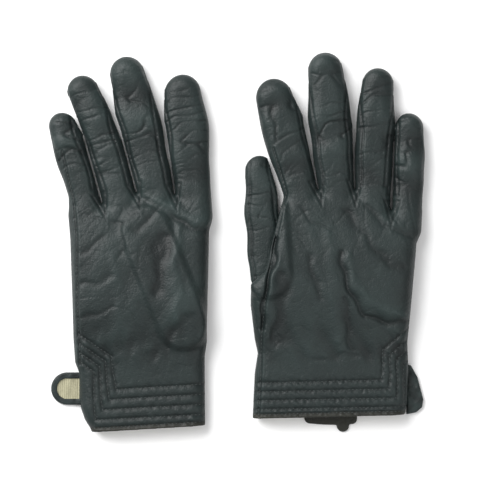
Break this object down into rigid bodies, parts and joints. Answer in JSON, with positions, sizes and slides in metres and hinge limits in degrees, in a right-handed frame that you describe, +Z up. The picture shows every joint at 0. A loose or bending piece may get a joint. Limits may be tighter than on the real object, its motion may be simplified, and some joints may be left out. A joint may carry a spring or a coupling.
{
  "type": "touchscreen gloves",
  "caption": "Pair of leather dress gloves lying palm down, with quilted cuffs, side vents, gusseted fingers that bend, and conductive pads on thumb and index finger.",
  "frame": {"origin": "on the surface the gloves lie on, under the middle of the pair's overall box", "axes": "+Y from the cuffs to the fingertips, +X from the left glove to the right glove, +Z up from the palms to the backs of the hands"},
  "size_m": [0.24, 0.2438, 0.02],
  "materials": {
    "leather": "soft semi-matt glove leather with a fine grain and creases",
    "side_leather": "the same glove leather, a little darker, in the finger side strips and gussets",
    "lining": "thin knitted lining, khaki",
    "wadding": "soft non-woven wadding",
    "elastic": "woven elastic tape",
    "binding": "turned leather edge, worn to brown",
    "touch_pad": "smooth conductive leather"
  },
  "bodies": {
    "left_hand": {"left_back_panel": "leather", "left_palm_panel": "leather", "left_quirks": "side_leather", "left_hand_lining": "lining", "left_cuff_wadding": "wadding", "left_wrist_elastic": "elastic", "left_hem_binding": "binding"},
    "left_little_base": {"left_little_base_leather": "leather", "left_little_base_fourchettes": "side_leather"},
    "left_little_tip": {"left_little_tip_leather": "leather", "left_little_tip_fourchettes": "side_leather"},
    "left_ring_base": {"left_ring_base_leather": "leather", "left_ring_base_fourchettes": "side_leather"},
    "left_ring_tip": {"left_ring_tip_leather": "leather", "left_ring_tip_fourchettes": "side_leather"},
    "left_middle_base": {"left_middle_base_leather": "leather", "left_middle_base_fourchettes": "side_leather"},
    "left_middle_tip": {"left_middle_tip_leather": "leather", "left_middle_tip_fourchettes": "side_leather"},
    "left_index_base": {"left_index_base_leather": "leather", "left_index_base_fourchettes": "side_leather"},
    "left_index_tip": {"left_index_tip_leather": "leather", "left_index_tip_fourchettes": "side_leather", "left_index_touch_pad": "touch_pad"},
    "left_thumb_base": {"left_thumb_base": "leather"},
    "left_thumb_tip": {"left_thumb_tip": "leather", "left_thumb_touch_pad": "touch_pad"},
    "left_vent_flap": {"left_vent_flap": "leather", "left_vent_flap_lining": "lining"},
    "right_hand": {"right_back_panel": "leather", "right_palm_panel": "leather", "right_quirks": "side_leather", "right_hand_lining": "lining", "right_cuff_wadding": "wadding", "right_wrist_elastic": "elastic", "right_hem_binding": "binding", "right_hang_tab": "binding"},
    "right_little_base": {"right_little_base_leather": "leather", "right_little_base_fourchettes": "side_leather"},
    "right_little_tip": {"right_little_tip_leather": "leather", "right_little_tip_fourchettes": "side_leather"},
    "right_ring_base": {"right_ring_base_leather": "leather", "right_ring_base_fourchettes": "side_leather"},
    "right_ring_tip": {"right_ring_tip_leather": "leather", "right_ring_tip_fourchettes": "side_leather"},
    "right_middle_base": {"right_middle_base_leather": "leather", "right_middle_base_fourchettes": "side_leather"},
    "right_middle_tip": {"right_middle_tip_leather": "leather", "right_middle_tip_fourchettes": "side_leather"},
    "right_index_base": {"right_index_base_leather": "leather", "right_index_base_fourchettes": "side_leather"},
    "right_index_tip": {"right_index_tip_leather": "leather", "right_index_tip_fourchettes": "side_leather", "right_index_touch_pad": "touch_pad"},
    "right_thumb_base": {"right_thumb_base": "leather"},
    "right_thumb_tip": {"right_thumb_tip": "leather", "right_thumb_touch_pad": "touch_pad"},
    "right_vent_flap": {"right_vent_flap": "leather", "right_vent_flap_lining": "lining"}
  },
  "joints": [
    {"name": "right_glove_slide", "type": "slide", "parent": "left_hand", "child": "right_hand", "axis": [1, 0, 0], "range_m": [0, 0.15]},
    {"name": "left_little_knuckle", "type": "hinge", "parent": "left_hand", "child": "left_little_base", "pos_m": [-0.10017, 0.03855, 0.005], "axis": [-0.9976, -0.0698, 0], "range_deg": [-15, 75]},
    {"name": "left_little_middle_joint", "type": "hinge", "parent": "left_little_base", "child": "left_little_tip", "pos_m": [-0.10401, 0.05455, 0.005], "axis": [-0.9724, -0.2334, 0], "range_deg": [0, 80]},
    {"name": "left_ring_knuckle", "type": "hinge", "parent": "left_hand", "child": "left_ring_base", "pos_m": [-0.07896, 0.04004, 0.005], "axis": [-0.9976, -0.0698, 0], "range_deg": [-15, 75]},
    {"name": "left_ring_middle_joint", "type": "hinge", "parent": "left_ring_base", "child": "left_ring_tip", "pos_m": [-0.08712, 0.06675, 0.005], "axis": [-0.9563, -0.2924, 0], "range_deg": [0, 80]},
    {"name": "left_middle_knuckle", "type": "hinge", "parent": "left_hand", "child": "left_middle_base", "pos_m": [-0.05539, 0.04168, 0.005], "axis": [-0.9976, -0.0698, 0], "range_deg": [-15, 75]},
    {"name": "left_middle_middle_joint", "type": "hinge", "parent": "left_middle_base", "child": "left_middle_tip", "pos_m": [-0.06259, 0.07285, 0.005], "axis": [-0.9744, -0.225, 0], "range_deg": [0, 80]},
    {"name": "left_index_knuckle", "type": "hinge", "parent": "left_hand", "child": "left_index_base", "pos_m": [-0.03109, 0.04338, 0.005], "axis": [-0.9976, -0.0698, 0], "range_deg": [-15, 75]},
    {"name": "left_index_middle_joint", "type": "hinge", "parent": "left_index_base", "child": "left_index_tip", "pos_m": [-0.03284, 0.0685, 0.005], "axis": [-0.9976, -0.0698, 0], "range_deg": [0, 80]},
    {"name": "left_thumb_swing", "type": "hinge", "parent": "left_hand", "child": "left_thumb_base", "pos_m": [-0.02, -0.04, 0.009], "axis": [0, -1, 0], "range_deg": [0, 120]},
    {"name": "left_thumb_middle_joint", "type": "hinge", "parent": "left_thumb_base", "child": "left_thumb_tip", "pos_m": [-0.04912, -0.01639, 0.004], "axis": [-0.9272, -0.3746, 0], "range_deg": [0, 70]},
    {"name": "left_vent_flap_fold", "type": "hinge", "parent": "left_hand", "child": "left_vent_flap", "pos_m": [-0.102, -0.094, 0.0011], "axis": [0, 1, 0], "range_deg": [-60, 75]},
    {"name": "right_little_knuckle", "type": "hinge", "parent": "right_hand", "child": "right_little_base", "pos_m": [0.10887, 0.04036, 0.005], "axis": [-0.9976, 0.0698, 0], "range_deg": [-15, 75]},
    {"name": "right_little_middle_joint", "type": "hinge", "parent": "right_little_base", "child": "right_little_tip", "pos_m": [0.1093, 0.05274, 0.005], "axis": [-0.9994, 0.0349, 0], "range_deg": [0, 80]},
    {"name": "right_ring_knuckle", "type": "hinge", "parent": "right_hand", "child": "right_ring_base", "pos_m": [0.08726, 0.04187, 0.005], "axis": [-0.9976, 0.0698, 0], "range_deg": [-15, 75]},
    {"name": "right_ring_middle_joint", "type": "hinge", "parent": "right_ring_base", "child": "right_ring_tip", "pos_m": [0.0887, 0.06929, 0.005], "axis": [-0.9986, 0.0523, 0], "range_deg": [0, 80]},
    {"name": "right_middle_knuckle", "type": "hinge", "parent": "right_hand", "child": "right_middle_base", "pos_m": [0.06335, 0.04355, 0.005], "axis": [-0.9976, 0.0698, 0], "range_deg": [-15, 75]},
    {"name": "right_middle_middle_joint", "type": "hinge", "parent": "right_middle_base", "child": "right_middle_tip", "pos_m": [0.06008, 0.07467, 0.005], "axis": [-0.9945, -0.1045, 0], "range_deg": [0, 80]},
    {"name": "right_index_knuckle", "type": "hinge", "parent": "right_hand", "child": "right_index_base", "pos_m": [0.03876, 0.04526, 0.005], "axis": [-0.9976, 0.0698, 0], "range_deg": [-15, 75]},
    {"name": "right_index_middle_joint", "type": "hinge", "parent": "right_index_base", "child": "right_index_tip", "pos_m": [0.0319, 0.06703, 0.005], "axis": [-0.9537, -0.3007, 0], "range_deg": [0, 80]},
    {"name": "right_thumb_swing", "type": "hinge", "parent": "right_hand", "child": "right_thumb_base", "pos_m": [0.0075, -0.008, 0.009], "axis": [0, 1, 0], "range_deg": [0, 120]},
    {"name": "right_thumb_middle_joint", "type": "hinge", "parent": "right_thumb_base", "child": "right_thumb_tip", "pos_m": [0.01592, 0.01893, 0.004], "axis": [-0.9976, -0.0698, 0], "range_deg": [0, 70]},
    {"name": "right_vent_flap_fold", "type": "hinge", "parent": "right_hand", "child": "right_vent_flap", "pos_m": [0.1098, -0.088, 0.0011], "axis": [0, -1, 0], "range_deg": [-60, 75]}
  ]
}
